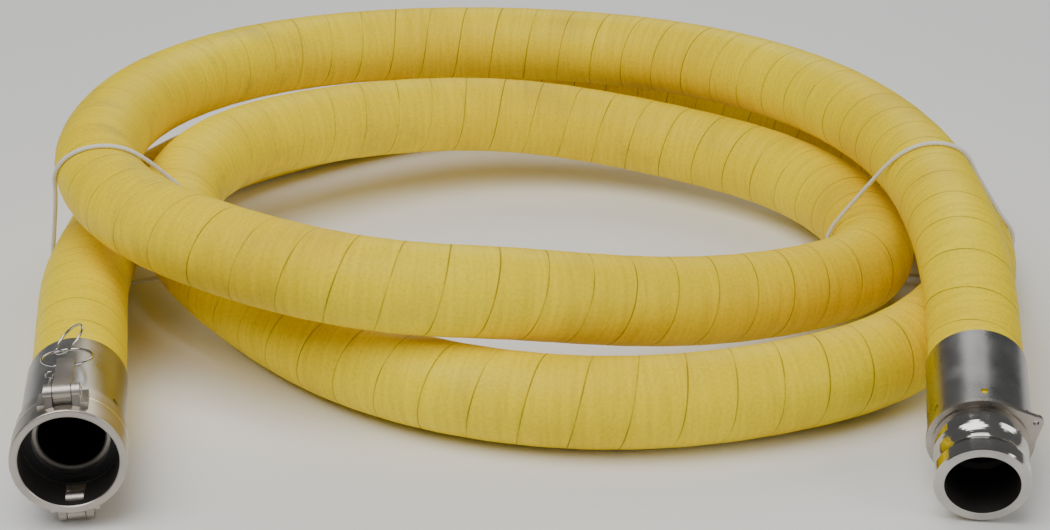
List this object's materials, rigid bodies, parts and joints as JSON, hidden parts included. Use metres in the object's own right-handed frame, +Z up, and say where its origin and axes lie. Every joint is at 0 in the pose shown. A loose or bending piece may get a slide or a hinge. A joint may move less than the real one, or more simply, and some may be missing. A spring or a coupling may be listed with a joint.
{
  "type": "coiled suction and discharge hose",
  "caption": "Loosely coiled heavy rubber hose with a crimped cam-lever coupler on one end, a crimped cam adapter on the other, and two string ties.",
  "frame": {"origin": "on the floor under the centre of the coil and its couplings", "axes": "+Z up, +Y from the couplings towards the back of the coil, +X towards the adapter"},
  "size_m": [0.7656, 0.7789, 0.1577],
  "materials": {
    "yellow_cover": "wrapped matte finish",
    "textile_plies": "woven cord plies",
    "black_liner": "smooth",
    "gasket_rubber": "moulded",
    "cast_steel": "satin cast stainless",
    "ferrule_steel": "satin rolled stainless",
    "turned_steel": "bright turned stainless",
    "ring_wire": "bright drawn wire",
    "tie_string": "twisted string"
  },
  "bodies": {
    "root": {"hose_cover": "yellow_cover", "hose_plies": "textile_plies", "hose_liner": "black_liner", "coupler_body": "cast_steel", "coupler_gasket": "gasket_rubber", "coupler_ferrule": "ferrule_steel", "arm_pin_top": "turned_steel", "arm_pin_bottom": "turned_steel", "clip_eye_top": "ring_wire", "clip_eye_bottom": "ring_wire", "adapter_body": "turned_steel", "adapter_ferrule": "ferrule_steel", "tie_left": "tie_string", "tie_right": "tie_string", "tie_left_knot": "tie_string", "tie_right_knot": "tie_string"},
    "arm_top": {"cam_arm_top": "cast_steel"},
    "arm_bottom": {"cam_arm_bottom": "cast_steel"},
    "pull_ring_top": {"pull_ring_top": "ring_wire"},
    "pull_ring_bottom": {"pull_ring_bottom": "ring_wire"},
    "clip_ring_top": {"clip_ring_top": "ring_wire"},
    "tether_plate": {"tether_plate": "turned_steel"}
  },
  "joints": [
    {"name": "arm_top_hinge", "type": "hinge", "parent": "root", "child": "arm_top", "pos_m": [-0.30495, -0.37027, 0.09348], "axis": [0.9911, 0.1304, 0.0262], "range_deg": [0, 100]},
    {"name": "arm_bottom_hinge", "type": "hinge", "parent": "root", "child": "arm_bottom", "pos_m": [-0.3027, -0.36997, 0.00651], "axis": [-0.9911, -0.1304, -0.0262], "range_deg": [0, 100]},
    {"name": "pull_ring_top_hinge", "type": "hinge", "parent": "arm_top", "child": "pull_ring_top", "pos_m": [-0.30991, -0.33259, 0.09348], "axis": [0.9911, 0.1304, 0.0262], "range_deg": [0, 120]},
    {"name": "pull_ring_bottom_hinge", "type": "hinge", "parent": "arm_bottom", "child": "pull_ring_bottom", "pos_m": [-0.30766, -0.3323, 0.00651], "axis": [-0.9911, -0.1304, -0.0262], "range_deg": [-20, 120]},
    {"name": "clip_ring_swing", "type": "hinge", "parent": "pull_ring_top", "child": "clip_ring_top", "pos_m": [-0.31683, -0.30122, 0.0896], "axis": [0.9541, 0.2995, 0.0053], "range_deg": [0, 60]},
    {"name": "tether_plate_turn", "type": "hinge", "parent": "root", "child": "tether_plate", "pos_m": [0.29051, -0.33778, 0.04128], "axis": [0.1257, 0.9639, 0.2347], "continuous": true}
  ]
}
